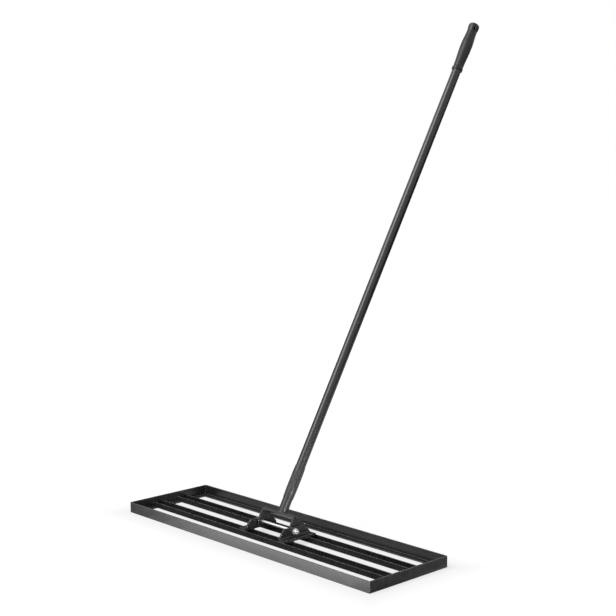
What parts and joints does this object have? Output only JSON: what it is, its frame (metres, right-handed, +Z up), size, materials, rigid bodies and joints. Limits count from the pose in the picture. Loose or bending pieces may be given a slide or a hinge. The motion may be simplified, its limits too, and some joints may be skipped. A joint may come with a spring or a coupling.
{
  "type": "lawn leveling rake",
  "caption": "Flat steel grid with a long round handle that tilts on a bolted yoke, dragged over a lawn to spread and level top dressing.",
  "frame": {"origin": "below the middle of the bounding box, on the ground", "axes": "+Z up, +X along the grid towards the nut end of the pivot bolt, +Y towards the side that the handle leans to"},
  "size_m": [0.9144, 0.913, 1.3434],
  "materials": {
    "coated_steel": "satin black powder coat",
    "zinc": "bright zinc plated",
    "bare_steel": "plain turned steel",
    "black_plastic": "moulded black plastic",
    "black_rubber": "textured black rubber"
  },
  "bodies": {
    "frame": {"front_angle": "coated_steel", "rear_angle": "coated_steel", "left_end_angle": "coated_steel", "right_end_angle": "coated_steel", "front_channel": "coated_steel", "rear_channel": "coated_steel", "left_ear": "coated_steel", "right_ear": "coated_steel", "pivot_bolt": "zinc", "bolt_head_washer": "zinc", "nut_washer": "zinc", "pivot_nut": "zinc"},
    "handle": {"yoke": "coated_steel", "socket_tube": "coated_steel", "coupling_spigot": "bare_steel", "lower_tube": "coated_steel", "lower_joint_stud": "bare_steel", "lower_joint_insert": "bare_steel", "middle_tube": "coated_steel", "upper_joint_stud": "bare_steel", "upper_joint_insert": "bare_steel", "upper_tube": "coated_steel", "grip": "black_rubber"},
    "collar": {"locking_collar": "black_plastic"}
  },
  "joints": [
    {"name": "handle_tilt", "type": "hinge", "parent": "frame", "child": "handle", "pos_m": [0, -0.32397, 0.0314], "axis": [-1, 0, 0], "range_deg": [-115, 54]},
    {"name": "collar_twist", "type": "hinge", "parent": "handle", "child": "collar", "pos_m": [0, -0.2635, 0.13406], "axis": [0, 0.5075, 0.8616], "range_deg": [0, 270]}
  ]
}
